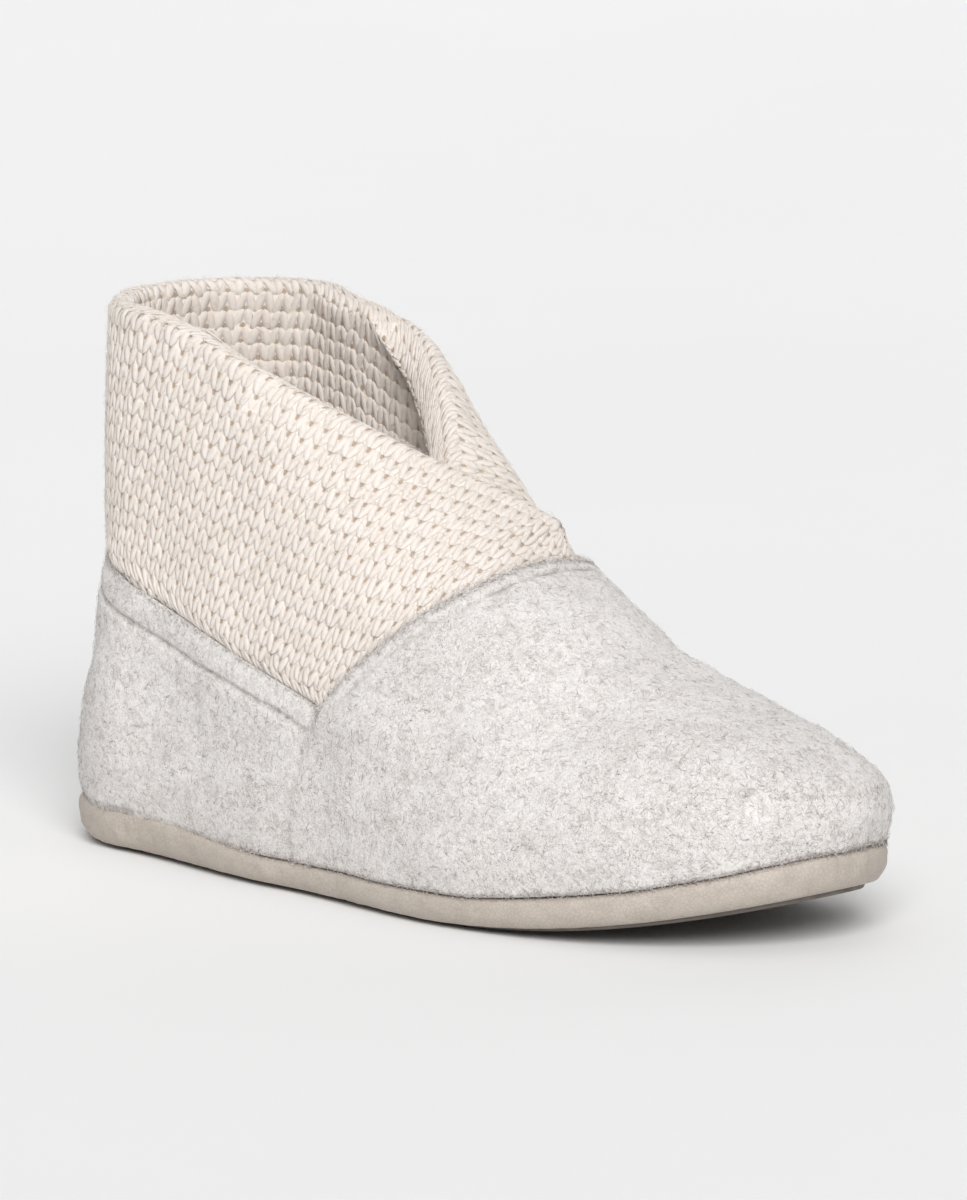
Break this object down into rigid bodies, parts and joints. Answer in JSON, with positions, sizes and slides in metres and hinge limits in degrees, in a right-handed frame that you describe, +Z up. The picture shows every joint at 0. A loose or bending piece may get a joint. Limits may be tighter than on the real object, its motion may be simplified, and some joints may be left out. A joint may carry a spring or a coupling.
{
  "type": "bootie slipper",
  "caption": "Child's bootie slipper for the right foot: felt lower with vamp and counter, soft knitted wrap-over collar, thin wrapped sole and felt insole.",
  "frame": {"origin": "on the floor, under the middle of the shoe's box", "axes": "+X towards the toe, +Y towards the inner side of the foot, +Z up"},
  "size_m": [0.1852, 0.0734, 0.1072],
  "materials": {
    "tread_rubber": "matt, fine tread",
    "sole_wrap": "fine grain, low sheen",
    "insole_felt": "felted",
    "felt": "light grey flecked wool felt",
    "knit": "plain knitted cream wool"
  },
  "bodies": {
    "root": {"outsole": "tread_rubber", "midsole": "sole_wrap", "insole": "insole_felt", "upper": "felt", "knit_collar": "knit"}
  },
  "joints": []
}
